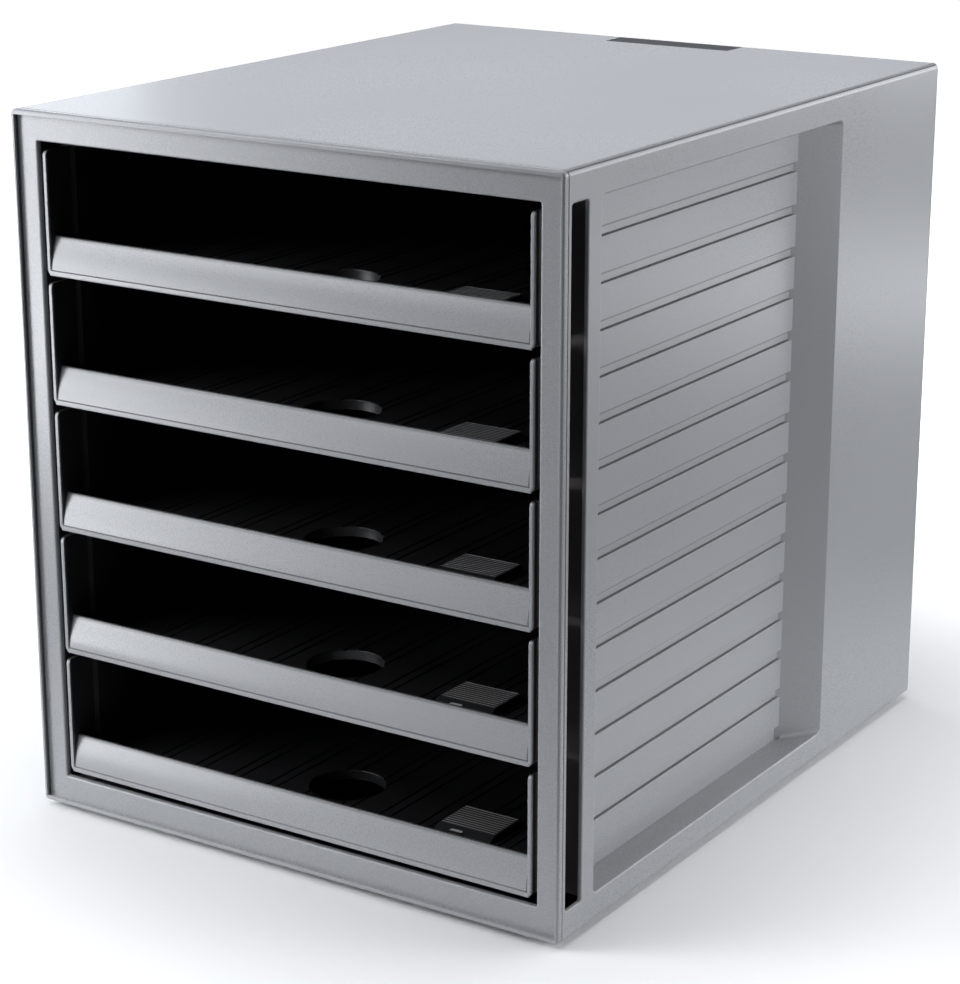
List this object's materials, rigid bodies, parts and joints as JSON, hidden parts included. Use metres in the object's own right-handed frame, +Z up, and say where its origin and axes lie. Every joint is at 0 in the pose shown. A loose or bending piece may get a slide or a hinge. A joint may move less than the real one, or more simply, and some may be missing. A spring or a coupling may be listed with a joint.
{
  "type": "desktop file drawer",
  "caption": "Desktop drawer cabinet for letter paper: a rounded box with open-fronted sliding trays, recessed ribbed sides and finger slots.",
  "frame": {"origin": "middle of the footprint, on the surface that the feet stand on", "axes": "+Z up; -Y is the front, and the drawers open towards it; +X is to the right when the front is to the left of the right side, seen from in front"},
  "size_m": [0.275, 0.34, 0.32],
  "materials": {
    "shell_plastic": "satin moulded, fine grain, cool light grey",
    "frame_plastic": "satin moulded, cool light grey",
    "back_plastic": "satin moulded, cool light grey",
    "tray_plastic": "satin moulded, cool light grey at the front, dark inside",
    "pad_plastic": "satin moulded, raised plain lines",
    "badge_plastic": "bare dark grey plate",
    "foot_rubber": "matt black"
  },
  "bodies": {
    "cabinet": {"top_panel": "shell_plastic", "bottom_panel": "shell_plastic", "side_panel_left": "shell_plastic", "side_panel_right": "shell_plastic", "front_frame": "frame_plastic", "back_panel": "back_plastic", "badge_plate": "badge_plastic", "foot_front_left": "foot_rubber", "foot_front_right": "foot_rubber", "foot_rear_left": "foot_rubber", "foot_rear_right": "foot_rubber"},
    "drawer_1": {"drawer_tray_1": "tray_plastic", "label_pad_1": "pad_plastic"},
    "drawer_2": {"drawer_tray_2": "tray_plastic", "label_pad_2": "pad_plastic"},
    "drawer_3": {"drawer_tray_3": "tray_plastic", "label_pad_3": "pad_plastic"},
    "drawer_4": {"drawer_tray_4": "tray_plastic", "label_pad_4": "pad_plastic"},
    "drawer_5": {"drawer_tray_5": "tray_plastic", "label_pad_5": "pad_plastic"}
  },
  "joints": [
    {"name": "drawer_1_slide", "type": "slide", "parent": "cabinet", "child": "drawer_1", "axis": [0, -1, 0], "range_m": [0, 0.23]},
    {"name": "drawer_2_slide", "type": "slide", "parent": "cabinet", "child": "drawer_2", "axis": [0, -1, 0], "range_m": [0, 0.23]},
    {"name": "drawer_3_slide", "type": "slide", "parent": "cabinet", "child": "drawer_3", "axis": [0, -1, 0], "range_m": [0, 0.23]},
    {"name": "drawer_4_slide", "type": "slide", "parent": "cabinet", "child": "drawer_4", "axis": [0, -1, 0], "range_m": [0, 0.23]},
    {"name": "drawer_5_slide", "type": "slide", "parent": "cabinet", "child": "drawer_5", "axis": [0, -1, 0], "range_m": [0, 0.23]}
  ]
}
